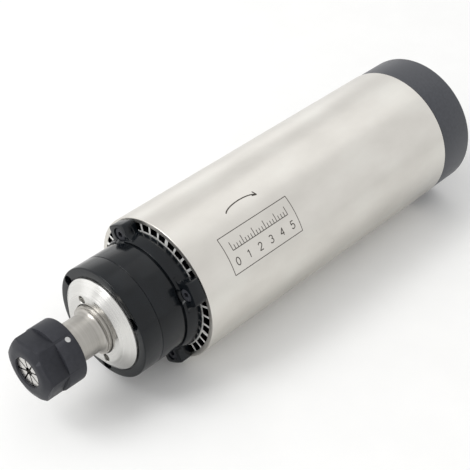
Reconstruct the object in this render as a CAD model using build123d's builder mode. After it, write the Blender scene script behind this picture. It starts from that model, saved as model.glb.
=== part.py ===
"""Air-cooled motor spindle with an ER20 collet.

The spindle lies along Y: its nose points to -Y, its fan and socket to +Y, and Z is up.
Every length is in millimetres and every angle in degrees.
Y = 0 is the front edge of the steel sheath, on the spindle axis, where the front flange seats.
"""

import os
from math import radians, tan

from build123d import *

os.makedirs("parts", exist_ok=True)

# ---------------------------------------------------------------- driving sizes
# Sheath and finned core
body_diameter = 80.0
sheath_length = 191.0
sheath_wall = 2.6
fin_depth = 4.0
fin_thickness = 1.2
fin_pitch = 9.5
fins_per_side = 3
core_web = 2.9
core_setback = 15.0
land_width = 10.0

# Nose: front flange, bearing cover and locking cap
nose_step = 2.8
flange_step = 0.4
nose_length = 24.5
flange_length = 9.8
lug_depth = 7.5
lug_width = 12.8
lug_inset = 0.6
lug_corner = 1.6
lug_bite = 1.0
lug_angle = 30.5
lug_count = 4
screw_circle_inset = 6.3
screw_head_pocket = 3.6
lug_pocket_depth = 4.3
cover_length = 11.7
cap_thread_ratio = 0.376
cap_radius_ratio = 0.688
cap_face_ratio = 0.294
cap_edge = 0.9
cap_cone = 4.5
cap_thread_length = 7.0
pin_hole_ratio = 0.84
pin_hole_depth = 3.0
pin_hole_angle = 118.0
pin_hole_count = 2

# Bearings, given as bore, outside diameter and width
front_bearing_bore = 25.0
front_bearing_outside = 42.0
front_bearing_width = 9.0
rear_bearing_bore = 15.0
rear_bearing_outside = 32.0
rear_bearing_width = 9.0
race_thickness = 2.6
cage_length = 6.0
ball_count = 24

# Shaft, seen from the front collar outwards and from the bearings inwards
collar_height = 0.7
collar_proud = 1.6
flare_length = 3.8
neck_diameter = 21.4
neck_length = 15.0
nose_thread_diameter = 24.8
nose_thread_length = 12.0
shoulder_height = 2.5
shoulder_length = 3.5

# Collet and nut
collet_diameter = 21.0
collet_length = 31.5
collet_face_radius = 8.4
collet_head = 7.8
collet_land = 1.1
collet_groove = 2.4
groove_radius = 8.7
collet_front_angle = 30.0
collet_taper = 8.0
tool_bore = 3.175
slot_width = 0.6
slot_count = 8
slot_bridge = 6.0
nut_diameter = 34.0
nut_flats = 30.0
nut_length = 22.7
nut_hex_length = 12.2
nut_overhang = 1.4
nut_corner = 1.2
nut_flat_angle = 34.0
hexagon_half_angle = 180 / 6
cut_overrun = 1.0
nut_lip_bite = 1.4

# Motor
rotor_wall = 3.6
rotor_length = 80.0
rotor_start = 45.0
rotor_bar_count = 30
stator_slot_count = 18
winding_overhang = 16.0
winding_inset_ratio = 0.25
winding_step_ratio = 0.115

# Rear end: bell, fan, cover and socket
bell_hub_wall = 4.5
bell_hub_side_count = 8
bell_arm_bite = 2.0
fan_radius = 28.6
fan_hub_radius = 12.0
fan_length = 12.0
fan_blade_count = 9
fan_blade_thickness = 1.8
fan_blade_lean = 12.0
fan_blade_bite = 1.0
rear_gap = 0.5
rear_cover_inset = 0.45
rear_cover_length = 23.8
rear_cover_wall = 2.4
rear_cover_side_ratio = 1.5
boss_width = 8.0
boss_depth = 5.4
grille_slot_count = 16
grille_slot_width = 3.4
grille_slot_length = 13.0
grille_circle = 23.5
socket_radius = 9.4
socket_length = 12.5
socket_wall = 1.6
socket_floor = 4.0
insert_side_count = 24
pin_across = 2.0
pin_reach = 4.0
pin_circle = 3.9
pin_count = 4

# ---------------------------------------------------------------- clearances
seat_gap = 0.03          # pressed and located pieces of one body
slide_gap = 0.05         # fins in the sheath, stator in the core
run_gap = 0.4            # turning pieces past fixed ones, stator past rotor
ball_gap = 0.4           # ball cage between its two races
thread_gap = 0.2         # nut thread over shaft thread
taper_gap = 0.08         # collet in its taper
cone_gap = 0.12          # nut cone and lip round the collet
end_gap = 0.5            # end clearance between turned shoulders
fan_gap = 3.0            # fan in front of the bell and inside the cover

# ---------------------------------------------------------------- derived radii
body_radius = body_diameter / 2
sheath_bore_radius = body_radius - sheath_wall
channel_floor_radius = sheath_bore_radius - fin_depth
core_bore_radius = channel_floor_radius - core_web
fin_reach = sheath_bore_radius - slide_gap
fin_root = channel_floor_radius - core_web / 2
screw_circle = body_radius - screw_circle_inset
nose_radius = channel_floor_radius - nose_step
flange_radius = channel_floor_radius - flange_step
lug_radius = body_radius - lug_inset
lug_root = nose_radius - lug_bite
front_bearing_radius = front_bearing_outside / 2
front_seat_radius = front_bearing_bore / 2
front_inner_track = front_seat_radius + race_thickness
front_outer_track = front_bearing_radius - race_thickness
rear_bearing_radius = rear_bearing_outside / 2
rear_seat_radius = rear_bearing_bore / 2
rear_inner_track = rear_seat_radius + race_thickness
rear_outer_track = rear_bearing_radius - race_thickness
collar_radius = front_seat_radius + collar_height
cap_bore_radius = collar_radius + run_gap
cap_room = nose_radius - cap_bore_radius
cap_thread_radius = cap_bore_radius + cap_thread_ratio * cap_room
cap_radius = cap_bore_radius + cap_radius_ratio * cap_room
cap_face_radius = cap_bore_radius + cap_face_ratio * cap_room
cover_bore_radius = cap_thread_radius + seat_gap
pin_hole_circle = (cap_bore_radius + cap_face_radius) / 2
pin_hole_radius = pin_hole_ratio * (cap_face_radius - pin_hole_circle)
shoulder_radius = front_seat_radius + shoulder_height
neck_radius = neck_diameter / 2
nose_thread_radius = nose_thread_diameter / 2
collet_radius = collet_diameter / 2
nut_radius = nut_diameter / 2
nut_bore_radius = nose_thread_radius + thread_gap
rotor_radius = front_seat_radius + rotor_wall
stator_radius = core_bore_radius - slide_gap
stator_bore_radius = rotor_radius + run_gap
stator_depth = stator_radius - stator_bore_radius
winding_radius = stator_radius - winding_inset_ratio * stator_depth
winding_bore_radius = stator_bore_radius + winding_step_ratio * stator_depth
rear_cover_radius = body_radius - rear_cover_inset
bell_hub_radius = rear_bearing_radius + bell_hub_wall

# ---------------------------------------------------------------- derived stations along Y
joint_y = -nose_length
rim_y = joint_y - cover_length
cap_edge_y = rim_y - cap_edge
cap_face_y = cap_edge_y - cap_cone
cap_tail_y = rim_y + cap_thread_length
collar_y = cap_face_y - collar_proud
flare_y = collar_y - flare_length
neck_y = flare_y - neck_length
shaft_nose_y = neck_y - nose_thread_length
collet_face_y = shaft_nose_y - collet_head
collet_end_y = collet_face_y + collet_length
nut_face_y = collet_face_y - nut_overhang
nut_rear_y = nut_face_y + nut_length
front_bearing_end_y = joint_y + 2 * front_bearing_width
rotor_end_y = rotor_start + rotor_length
core_length = sheath_length - core_setback
bell_rear_y = core_length + rear_bearing_width
fan_y = bell_rear_y + fan_gap
fan_end_y = fan_y + fan_length
rear_cover_y = sheath_length + rear_gap
rear_face_y = rear_cover_y + rear_cover_length
rear_panel_y = rear_face_y - rear_cover_wall
socket_end_y = rear_face_y + socket_length


def station(y):
    """Plane square to the spindle axis at y: its local x and y are X and Z, and it faces the nose."""
    return Plane.XZ.offset(-y)


def turn(outline):
    """Turn a closed outline of (y, radius) points about the spindle axis, in the current part."""
    with BuildSketch(Plane.YZ) as profile:
        with BuildLine():
            Polyline(*outline, close=True)
        make_face()
    revolve(profile.sketch, axis=Axis.Y)


def tube(y_front, y_rear, outer, inner):
    """A plain ring or sleeve about the spindle axis, in the current part."""
    with BuildSketch(station(y_rear)) as section:
        Circle(outer)
        Circle(inner, mode=Mode.SUBTRACT)
    extrude(section.sketch, amount=y_rear - y_front)


def finish(piece, label):
    """Name a finished piece and write its STEP file."""
    piece.part.label = label
    export_step(piece.part, f"parts/{label}.step")


# ================================================================ housing
# ---- steel sheath: the polished tube that a spindle clamp holds
with BuildPart() as steel_sheath:
    tube(0, sheath_length, body_radius, sheath_bore_radius)
finish(steel_sheath, "steel_sheath")

# ---- finned core: the aluminium extrusion that holds the stator and carries the cooling air
with BuildPart() as finned_core:
    with BuildSketch(station(core_length)):
        Circle(channel_floor_radius)
        for window in range(lug_count):
            window_angle = lug_angle + 360 / lug_count * (window + 0.5)
            for fin in range(-fins_per_side, fins_per_side + 1):
                with PolarLocations((fin_root + fin_reach) / 2, 1, start_angle=window_angle + fin * fin_pitch):
                    Rectangle(fin_reach - fin_root, fin_thickness)
        land_reach = (fin_reach**2 - (land_width / 2) ** 2) ** 0.5
        with PolarLocations((fin_root + land_reach) / 2, lug_count, start_angle=lug_angle):
            Rectangle(land_reach - fin_root, land_width)
        Circle(core_bore_radius, mode=Mode.SUBTRACT)
    extrude(amount=core_length)
finish(finned_core, "finned_core")

# ---- front flange: the nose housing, with a bearing pocket and four screw lugs
with BuildPart() as front_flange:
    turn(
        [
            (joint_y, front_bearing_radius + seat_gap),
            (joint_y, nose_radius),
            (-flange_length, nose_radius),
            (0, flange_radius),
            (0, front_outer_track),
            (front_bearing_end_y + seat_gap, front_outer_track),
            (front_bearing_end_y + seat_gap, front_bearing_radius + seat_gap),
        ]
    )
    with BuildSketch(station(0)):
        with PolarLocations((lug_root + body_radius) / 2, lug_count, start_angle=lug_angle):
            Rectangle(body_radius - lug_root, lug_width)
        Circle(lug_radius, mode=Mode.INTERSECT)
        fillet(vertices().filter_by(lambda v: Vector(v).length > (flange_radius + lug_radius) / 2), radius=lug_corner)
    extrude(amount=lug_depth)
    with BuildSketch(station(lug_pocket_depth - lug_depth)):
        with PolarLocations(screw_circle, lug_count, start_angle=lug_angle):
            Circle(screw_head_pocket)
    extrude(amount=flange_length + lug_pocket_depth - lug_depth, mode=Mode.SUBTRACT)
finish(front_flange, "front_flange")

# ---- bearing cover: the black ring that clamps the outer races, with a threaded mouth for the cap
with BuildPart() as bearing_cover:
    tube(rim_y, joint_y, nose_radius, cover_bore_radius)
finish(bearing_cover, "bearing_cover")

# ---- locking cap: the bright threaded cap with two holes for a pin spanner
with BuildPart() as locking_cap:
    turn(
        [
            (cap_face_y, cap_bore_radius),
            (cap_face_y, cap_face_radius),
            (cap_edge_y, cap_radius),
            (rim_y, cap_radius),
            (rim_y, cap_thread_radius),
            (cap_tail_y, cap_thread_radius),
            (cap_tail_y, cap_bore_radius),
        ]
    )
    with BuildSketch(station(cap_face_y + pin_hole_depth)):
        with PolarLocations(pin_hole_circle, pin_hole_count, start_angle=pin_hole_angle):
            Circle(pin_hole_radius)
    extrude(amount=pin_hole_depth, mode=Mode.SUBTRACT)
finish(locking_cap, "locking_cap")

# ================================================================ bearings
front_races_length = 2 * front_bearing_width


def bearing_ring(y_front, length, outer, inner):
    """A hidden bearing ring, with one flat for each ball: its corners reach outer, its flats inner."""
    with BuildSketch(station(y_front + length)) as section:
        RegularPolygon(outer, ball_count)
        RegularPolygon(inner, ball_count, major_radius=False, mode=Mode.SUBTRACT)
    extrude(section.sketch, amount=length)


def ball_cage(y_front, width, outer_track, inner_track):
    """Ball cage of a bearing of that width, standing clear of both races."""
    cage_y = y_front + (width - cage_length) / 2
    bearing_ring(cage_y, cage_length, outer_track - ball_gap, inner_track + ball_gap)


with BuildPart() as outer_races:
    bearing_ring(joint_y, front_races_length, front_bearing_radius, front_outer_track)
    bearing_ring(core_length, rear_bearing_width, rear_bearing_radius, rear_outer_track)
finish(outer_races, "outer_races")

with BuildPart() as inner_races:
    bearing_ring(joint_y, front_races_length, front_inner_track, front_seat_radius)
    bearing_ring(core_length, rear_bearing_width, rear_inner_track, rear_seat_radius)
finish(inner_races, "inner_races")

with BuildPart() as front_ball_cage:
    ball_cage(joint_y, front_races_length, front_outer_track, front_inner_track)
finish(front_ball_cage, "front_ball_cage")

with BuildPart() as rear_ball_cage:
    ball_cage(core_length, rear_bearing_width, rear_outer_track, rear_inner_track)
finish(rear_ball_cage, "rear_ball_cage")

# ================================================================ motor
with BuildPart() as stator_core:
    with BuildSketch(station(rotor_end_y)):
        RegularPolygon(stator_radius, 2 * stator_slot_count)
        RegularPolygon(stator_bore_radius, 2 * stator_slot_count, major_radius=False, mode=Mode.SUBTRACT)
    extrude(amount=rotor_length)
finish(stator_core, "stator_core")

with BuildPart() as stator_winding:
    for y_rear in (rotor_start, rotor_end_y + winding_overhang):
        with BuildSketch(station(y_rear)) as end_turns:
            RegularPolygon(winding_radius, stator_slot_count)
            RegularPolygon(winding_bore_radius, stator_slot_count, mode=Mode.SUBTRACT)
        extrude(end_turns.sketch, amount=winding_overhang)
finish(stator_winding, "stator_winding")

with BuildPart() as rotor_core:
    with BuildSketch(station(rotor_end_y)):
        RegularPolygon(rotor_radius, rotor_bar_count)
        RegularPolygon(front_seat_radius, rotor_bar_count, major_radius=False, mode=Mode.SUBTRACT)
    extrude(amount=rotor_length)
finish(rotor_core, "rotor_core")

# ================================================================ shaft, collet and nut
# Distances along the collet are counted from its front face towards the rear.
front_cone_end = (collet_radius - collet_face_radius) / tan(radians(collet_front_angle))
groove_start = front_cone_end + collet_land
groove_end = groove_start + collet_groove


def collet_taper_radius(depth):
    """Radius of the collet's long taper at a distance behind the collet face."""
    return collet_radius - (depth - groove_end) * tan(radians(collet_taper))


with BuildPart() as collet:
    turn(
        [
            (collet_face_y, tool_bore / 2),
            (collet_face_y, collet_face_radius),
            (collet_face_y + front_cone_end, collet_radius),
            (collet_face_y + groove_start, collet_radius),
            (collet_face_y + groove_start, groove_radius),
            (collet_face_y + groove_end, groove_radius),
            (collet_face_y + groove_end, collet_taper_radius(groove_end)),
            (collet_end_y, collet_taper_radius(collet_length)),
            (collet_end_y, tool_bore / 2),
        ]
    )
    with BuildSketch(station(collet_end_y - slot_bridge)):
        with PolarLocations(collet_radius / 2, slot_count, start_angle=nut_flat_angle):
            Rectangle(collet_radius + cut_overrun, slot_width)
    extrude(amount=collet_length, mode=Mode.SUBTRACT)
finish(collet, "collet")

taper_end = collet_length + end_gap
rear_shoulder_y = core_length - end_gap
with BuildPart() as spindle_shaft:
    turn(
        [
            (collet_face_y + taper_end, 0),
            (collet_face_y + taper_end, collet_taper_radius(taper_end) + taper_gap),
            (shaft_nose_y, collet_taper_radius(collet_head) + taper_gap),
            (shaft_nose_y, nose_thread_radius),
            (neck_y, nose_thread_radius),
            (neck_y, neck_radius),
            (flare_y, neck_radius),
            (collar_y, front_seat_radius),
            (collar_y, collar_radius),
            (joint_y - shoulder_length, collar_radius),
            (joint_y - shoulder_length, shoulder_radius),
            (joint_y, shoulder_radius),
            (joint_y, front_seat_radius - seat_gap),
            (rear_shoulder_y, front_seat_radius - seat_gap),
            (rear_shoulder_y, rear_seat_radius - seat_gap),
            (fan_end_y, rear_seat_radius - seat_gap),
            (fan_end_y, 0),
        ]
    )
finish(spindle_shaft, "spindle_shaft")

lip_start = groove_start + cone_gap
lip_end = groove_end - cone_gap
lip_radius = collet_radius - nut_lip_bite
mouth_radius = collet_face_radius + end_gap
mouth_depth = (mouth_radius - collet_face_radius - cone_gap) / tan(radians(collet_front_angle))
with BuildPart() as collet_nut:
    turn(
        [
            (nut_face_y, mouth_radius),
            (nut_face_y, nut_radius - nut_corner),
            (nut_face_y + nut_corner, nut_radius),
            (nut_rear_y, nut_radius),
            (nut_rear_y, nut_bore_radius),
            (collet_face_y + lip_end, nut_bore_radius),
            (collet_face_y + lip_end, lip_radius),
            (collet_face_y + lip_start, lip_radius),
            (collet_face_y + lip_start, collet_radius + cone_gap),
            (collet_face_y + front_cone_end, collet_radius + cone_gap),
            (collet_face_y + mouth_depth, mouth_radius),
        ]
    )
    with BuildSketch(station(nut_face_y + nut_hex_length)):
        Circle(nut_radius + cut_overrun)
        RegularPolygon(
            nut_flats / 2,
            6,
            major_radius=False,
            rotation=nut_flat_angle - hexagon_half_angle,
            mode=Mode.SUBTRACT,
        )
    extrude(amount=nut_hex_length, mode=Mode.SUBTRACT)
finish(collet_nut, "collet_nut")

# ================================================================ rear end
# ---- rear bell: an octagonal hub round the bearing, with an arm to each land of the core
arm_root = rear_bearing_radius + bell_arm_bite
with BuildPart() as rear_bell:
    with BuildSketch(station(bell_rear_y)):
        RegularPolygon(bell_hub_radius, bell_hub_side_count, major_radius=False, rotation=lug_angle)
        with PolarLocations((arm_root + land_reach) / 2, lug_count, start_angle=lug_angle):
            Rectangle(land_reach - arm_root, land_width)
        Circle(rear_bearing_radius + seat_gap, mode=Mode.SUBTRACT)
    extrude(amount=rear_bearing_width)
finish(rear_bell, "rear_bell")

# ---- cooling fan: straight paddles on a hub that is pressed on the shaft's tail
with BuildPart() as cooling_fan:
    with BuildSketch(station(fan_end_y)):
        RegularPolygon(fan_hub_radius, 2 * fan_blade_count)
        with PolarLocations((fan_hub_radius + fan_radius) / 2 - fan_blade_bite, fan_blade_count):
            Rectangle(fan_radius - fan_hub_radius, fan_blade_thickness, rotation=fan_blade_lean)
        Circle(rear_seat_radius, mode=Mode.SUBTRACT)
    extrude(amount=fan_length)
finish(cooling_fan, "cooling_fan")

# ---- rear cover: the cup over the fan, with four bosses that seat on the bell's arms
cover_inner_radius = rear_cover_radius - rear_cover_side_ratio * rear_cover_wall
with BuildPart() as rear_cover:
    turn(
        [
            (rear_cover_y, cover_inner_radius),
            (rear_cover_y, rear_cover_radius),
            (rear_face_y, rear_cover_radius),
            (rear_face_y, 0),
            (rear_panel_y, 0),
            (rear_panel_y, cover_inner_radius),
        ]
    )
    with BuildSketch(station(rear_panel_y)):
        with PolarLocations(land_reach - boss_depth / 2, lug_count, start_angle=lug_angle):
            Rectangle(boss_depth, boss_width)
    extrude(amount=rear_panel_y - bell_rear_y)
    with BuildSketch(station(rear_face_y)):
        with PolarLocations(grille_circle, grille_slot_count, start_angle=lug_angle):
            Rectangle(grille_slot_length, grille_slot_width)
    extrude(amount=rear_cover_wall, mode=Mode.SUBTRACT)
finish(rear_cover, "rear_cover")

# ---- socket: the round panel socket for the motor cable, with its insert and four pins
socket_bore_radius = socket_radius - socket_wall
socket_insert_y = rear_face_y + socket_floor
with BuildPart() as socket_shell:
    tube(rear_face_y, socket_end_y, socket_radius, socket_bore_radius)
finish(socket_shell, "socket_shell")

with BuildPart() as socket_insert:
    with BuildSketch(station(socket_insert_y)):
        RegularPolygon(socket_bore_radius - seat_gap, insert_side_count)
    extrude(amount=socket_floor)
finish(socket_insert, "socket_insert")

with BuildPart() as socket_pins:
    with BuildSketch(station(socket_insert_y + pin_reach)):
        with PolarLocations(pin_circle, pin_count, start_angle=45):
            RegularPolygon(pin_across / 2, 8)
    extrude(amount=pin_reach)
finish(socket_pins, "socket_pins")
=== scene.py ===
# %% [markdown]
# # A motor spindle, dressed around its CAD frame
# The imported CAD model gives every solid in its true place. This script keeps what is already
# right, replaces the visible turned and milled pieces with finer meshes, and gives each surface
# a finish made of nodes. The spindle lies along Y with its nose at -Y, and Z is up.

# %% Load the frame
import math

import bmesh
import bpy
from mathutils import Matrix, Vector


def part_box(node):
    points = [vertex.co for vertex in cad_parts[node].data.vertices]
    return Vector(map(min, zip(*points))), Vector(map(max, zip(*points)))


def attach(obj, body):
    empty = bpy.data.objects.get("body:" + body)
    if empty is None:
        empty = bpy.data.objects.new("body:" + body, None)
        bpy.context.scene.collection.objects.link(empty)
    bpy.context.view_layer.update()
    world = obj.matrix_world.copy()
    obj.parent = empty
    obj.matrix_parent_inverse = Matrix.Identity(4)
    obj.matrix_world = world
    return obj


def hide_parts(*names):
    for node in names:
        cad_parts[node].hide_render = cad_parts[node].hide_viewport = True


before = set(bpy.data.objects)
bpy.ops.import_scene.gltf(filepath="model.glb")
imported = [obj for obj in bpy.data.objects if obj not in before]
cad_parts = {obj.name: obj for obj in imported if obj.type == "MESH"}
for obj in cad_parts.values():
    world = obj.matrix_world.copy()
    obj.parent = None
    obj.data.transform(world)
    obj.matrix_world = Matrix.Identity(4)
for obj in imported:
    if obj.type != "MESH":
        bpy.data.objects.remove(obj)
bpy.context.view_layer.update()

print("CAD nodes:", ", ".join(sorted(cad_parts)))

# %% [markdown]
# ## Units and stations
# Turned parts are described by where they start and stop along the spindle. Reading those
# stations from the CAD boxes keeps every new mesh where its solid is. Sizes are in millimetres,
# because a maker reads them that way, and each builder turns them into metres once.

# %% Stations from the frame
MM = 0.001
HAIR = 0.02  # faces that would coincide are kept this many millimetres apart


def span(node):
    """Front and rear station of a CAD node along the spindle, in millimetres."""
    low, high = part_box(node)
    return low[1] / MM, high[1] / MM


def reach(node):
    """Largest distance of a CAD node from the spindle axis to its side, in millimetres."""
    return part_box(node)[1][0] / MM


sheath_front, sheath_rear = span("steel_sheath")
body_radius = reach("steel_sheath")
rim_y, joint_y = span("bearing_cover")
nose_radius = reach("bearing_cover")
cap_face_y, cap_tail_y = span("locking_cap")
nut_face_y, nut_rear_y = span("collet_nut")
collet_face_y, collet_end_y = span("collet")
shaft_nose_y, shaft_tail_y = span("spindle_shaft")
boss_front_y = span("rear_cover")[0]
rear_face_y, socket_end_y = span("socket_shell")
print(f"body radius {body_radius:.2f} mm, nose from {nut_face_y:.1f} to {sheath_front:.1f} mm")

# %% [markdown]
# ## Turning on a lathe, in mesh code
# Nearly every visible piece was cut on a lathe, so one builder turns an outline of
# (y, radius) corners about the spindle axis. A corner may carry a third number: how far its
# edge is broken back, because no real edge is perfectly sharp and the soft edge catches light.
# A Screw modifier could turn the outline as well. Making the rings here also gives each face a
# texture place measured round and along the piece, which the machining marks need.

# %% Outlines with broken corners
EDGE_STEPS = 4


def softened(corners):
    """The outline's points, with each corner that has a third value rounded back by it."""
    points = []
    for index, corner in enumerate(corners):
        here = Vector(corner[:2])
        if len(corner) == 2:
            points.append(here)
            continue
        before = Vector(corners[index - 1][:2])
        after = Vector(corners[(index + 1) % len(corners)][:2])
        start = here + (before - here).normalized() * corner[2]
        end = here + (after - here).normalized() * corner[2]
        for step in range(EDGE_STEPS + 1):
            t = step / EDGE_STEPS
            points.append(start * (1 - t) ** 2 + here * 2 * t * (1 - t) + end * t**2)
    return points


# %% [markdown]
# ## From a mesh to an object
# Every builder ends here. The faces are turned outward, the mesh becomes an object in the scene,
# and edges sharper than a limit stay crisp while the rest is shaded smooth, so that 192 flats
# read as one round.

# %% Objects
SHARP_ANGLE = math.radians(32)


def as_object(mesh, name):
    """Close the bmesh into a linked object with outward faces and crisp edges."""
    bmesh.ops.recalc_face_normals(mesh, faces=mesh.faces)
    data = bpy.data.meshes.new(name)
    mesh.to_mesh(data)
    mesh.free()
    made = bpy.data.objects.new(name, data)
    bpy.context.scene.collection.objects.link(made)
    crisp(made)
    return made


def crisp(piece):
    """Shade smooth, but keep edges sharper than the limit angle."""
    piece.data.shade_smooth()
    piece.data.set_sharp_from_angle(angle=SHARP_ANGLE)


# %% Turned solids
TURN_STEPS = 192
ON_AXIS = 1e-6


def turned(name, corners, steps=TURN_STEPS):
    """A solid turned about the spindle axis from a closed outline of (y, radius) in mm."""
    profile = softened(corners)
    mesh = bmesh.new()
    place = mesh.loops.layers.uv.new("turn")
    widest = max(radius for _, radius in profile)
    rings, travel, along = [], [], 0.0
    for index, (y, radius) in enumerate(profile):
        along += (profile[index] - profile[index - 1]).length if index else 0.0
        travel.append(along)
        if radius < ON_AXIS:
            rings.append([mesh.verts.new((0, y * MM, 0))] * steps)
            continue
        rings.append([])
        for step in range(steps):
            angle = math.tau * step / steps
            x, z = radius * math.cos(angle), radius * math.sin(angle)
            rings[-1].append(mesh.verts.new((x * MM, y * MM, z * MM)))
    for index, ring in enumerate(rings):
        following = (index + 1) % len(rings)
        for step in range(steps):
            after = (step + 1) % steps
            spots = {
                ring[step]: (step, travel[index]),
                ring[after]: (step + 1, travel[index]),
                rings[following][after]: (step + 1, travel[following] or along),
                rings[following][step]: (step, travel[following] or along),
            }
            if len(spots) > 2:
                face = mesh.faces.new(list(spots))
                for loop in face.loops:
                    count, distance = spots[loop.vert]
                    round_it = count / steps * math.tau * widest
                    loop[place].uv = (round_it * MM, distance * MM)
    return as_object(mesh, name)


# %% [markdown]
# ## Milling and drilling
# Flats, slots, lugs and holes are cut into a turned blank, as on the real machine. A Boolean
# modifier does the cut and is applied at once, so that the piece stays one closed mesh. The
# alternative, modelling the holes face by face, gives neater quads but no better picture.

# %% Prisms
def prism(name, section, y_front, y_rear, angle=0.0):
    """Extrude a section of (radial, across) corners along Y, turned to an angle in degrees."""
    mesh = bmesh.new()
    cos, sin = math.cos(math.radians(angle)), math.sin(math.radians(angle))
    ends = []
    for y in (y_front, y_rear):
        ends.append([])
        for radial, across in softened(section):
            x, z = radial * cos - across * sin, radial * sin + across * cos
            ends[-1].append(mesh.verts.new((x * MM, y * MM, z * MM)))
    mesh.faces.new(ends[0])
    mesh.faces.new(ends[1])
    for index in range(len(ends[0])):
        front, rear = ends[0][index - 1], ends[1][index - 1]
        mesh.faces.new((front, rear, ends[1][index], ends[0][index]))
    return as_object(mesh, name)


# %% Cuts and broken edges
BREAK_STEPS = 2
BREAK_ANGLE = math.radians(38)


def applied(piece):
    """Bake the piece's modifiers into its mesh."""
    depsgraph = bpy.context.evaluated_depsgraph_get()
    baked = bpy.data.meshes.new_from_object(piece.evaluated_get(depsgraph))
    piece.modifiers.clear()
    piece.data = baked
    crisp(piece)
    return piece


def worked(piece, tools, operation="DIFFERENCE"):
    """Cut each tool from the piece, or join it on, and remove the tools."""
    for tool in tools:
        change = piece.modifiers.new("work", "BOOLEAN")
        change.operation = operation
        change.solver = "EXACT"
        change.object = tool
        applied(piece)
        bpy.data.objects.remove(tool)
    return piece


def broken_edges(piece, width):
    """Break every edge sharper than the limit angle, as a file or a tumbler does."""
    edge = piece.modifiers.new("edges", "BEVEL")
    edge.width = width * MM
    edge.segments = BREAK_STEPS
    edge.limit_method = "ANGLE"
    edge.angle_limit = BREAK_ANGLE
    edge.miter_outer = "MITER_SHARP"
    edge.harden_normals = False
    return applied(piece)


# %% [markdown]
# ## Placing, joining and sections
# Screws and holes are made about the axis and then carried out to their circle, because a turned
# shape is easiest to describe where its own axis is. Two section helpers give the corners that
# the prisms need.

# %% Placing, joining and sections
def moved(piece, radius, angle):
    """Carry a piece made about the spindle axis out to a radius and angle."""
    turn = math.radians(angle)
    shift = (radius * MM * math.cos(turn), 0, radius * MM * math.sin(turn))
    piece.data.transform(Matrix.Translation(shift) @ Matrix.Rotation(-turn, 4, "Y"))
    return piece


def joined(name, pieces):
    """One object made of several closed meshes, for fasteners that are all alike."""
    mesh = bmesh.new()
    for piece in pieces:
        mesh.from_mesh(piece.data)
        bpy.data.objects.remove(piece)
    return as_object(mesh, name)


def hexagon(across_flats):
    """Corners of a hexagon, as (radial, across), with a flat facing outward."""
    corner = across_flats / math.sqrt(3)
    spots = [math.radians(30 + 60 * k) for k in range(6)]
    return [(corner * math.cos(spot), corner * math.sin(spot)) for spot in spots]


def rectangle(inner, outer, half_width, *rounding):
    """Corners of a rectangle, as (radial, across), each rounded if a third value is given."""
    corners = [(inner, -half_width), (outer, -half_width), (outer, half_width), (inner, half_width)]
    return [(*corner, *rounding) for corner in corners]


# %% [markdown]
# ## Nodes for finishes
# One small function adds any node, sets it up and links it. Colours are written as the hex
# values that a painter's chart uses, and one function turns them into the linear numbers that
# the renderer works in. Every finish on the spindle ends the same way: a tone gives the colour,
# and a pattern left by the tool or the mould varies the gloss and stands up a little from the
# surface. A noise keeps mostly between 0.3 and 0.7, so that span is spread over the whole range.

# %% Node helpers
def linear(hex_colour):
    """Linear RGBA of an sRGB hex colour."""
    parts = [int(hex_colour[start:start + 2], 16) / 255 for start in (1, 3, 5)]
    light = [((p + 0.055) / 1.055) ** 2.4 if p > 0.04045 else p / 12.92 for p in parts]
    return (*light, 1.0)


def add_node(tree, kind, settings=None, links=None):
    """Add a node. Settings name its properties or sockets; links name sockets and their sources."""
    new = tree.nodes.new(kind)
    for key, value in (settings or {}).items():
        if key == "stops":
            ramp = new.color_ramp.elements
            while len(ramp) < len(value):
                ramp.new(1.0)
            for stop, (position, colour) in zip(ramp, value):
                stop.position = position
                stop.color = colour
        elif isinstance(key, int) or key in new.inputs:
            new.inputs[key].default_value = value
        else:
            setattr(new, key, value)
    for socket, source in (links or {}).items():
        tree.links.new(source, new.inputs[socket])
    return new


# %% Finish helpers
def new_finish(name, **sockets):
    """A material with one Principled shader; underscores in socket names stand for spaces."""
    finish = bpy.data.materials.new(name)
    finish.use_nodes = True
    tree = finish.node_tree
    tree.nodes.clear()
    named = {key.replace("_", " "): value for key, value in sockets.items()}
    shader = add_node(tree, "ShaderNodeBsdfPrincipled", named)
    add_node(tree, "ShaderNodeOutputMaterial", links={"Surface": shader.outputs["BSDF"]})
    return finish, tree, shader


def stretched(tree, source, stretch=(1.0, 1.0, 1.0)):
    """Texture place from "UV" or "Object", in metres, multiplied by a stretch."""
    place = add_node(tree, "ShaderNodeTexCoord")
    return add_node(
        tree, "ShaderNodeMapping", {"Scale": stretch}, {"Vector": place.outputs[source]}
    ).outputs["Vector"]


def per_mm(size):
    """Noise scale whose grains are about this many millimetres across."""
    return 1.0 / (size * MM)


def dressed(tree, shader, tone, pattern, smooth, coarse, strength, depth=0.02):
    """Give the shader a tone, and let a pattern vary its gloss and raise it by a depth in mm."""
    rough = add_node(
        tree, "ShaderNodeMapRange",
        {"From Min": 0.3, "From Max": 0.7, "To Min": smooth, "To Max": coarse},
        {"Value": pattern.outputs["Fac"]},
    )
    bump = add_node(
        tree, "ShaderNodeBump", {"Strength": strength, "Distance": depth * MM},
        {"Height": pattern.outputs["Fac"]},
    )
    tree.links.new(tone.outputs["Color"], shader.inputs["Base Color"])
    tree.links.new(rough.outputs["Result"], shader.inputs["Roughness"])
    tree.links.new(bump.outputs["Normal"], shader.inputs["Normal"])


# %% [markdown]
# ## Brushed stainless steel
# The body tube is stainless steel, ground and then brushed round and round on a belt. The eye
# sees a pale warm grey with soft lengthwise bands, because the brushing blurs each reflection
# along the tube, and faint cloudy patches where hands and the belt left it uneven. Real belt
# marks are 0.05 mm apart, too fine to show, so they are drawn at 0.5 mm. The tangent tells the
# shader which way is round the tube.

# %% Sheath finish
GRAIN_LINE = 0.5
GRAIN_LENGTH = 26.0
HANDLING_PATCH = 18.0

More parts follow.
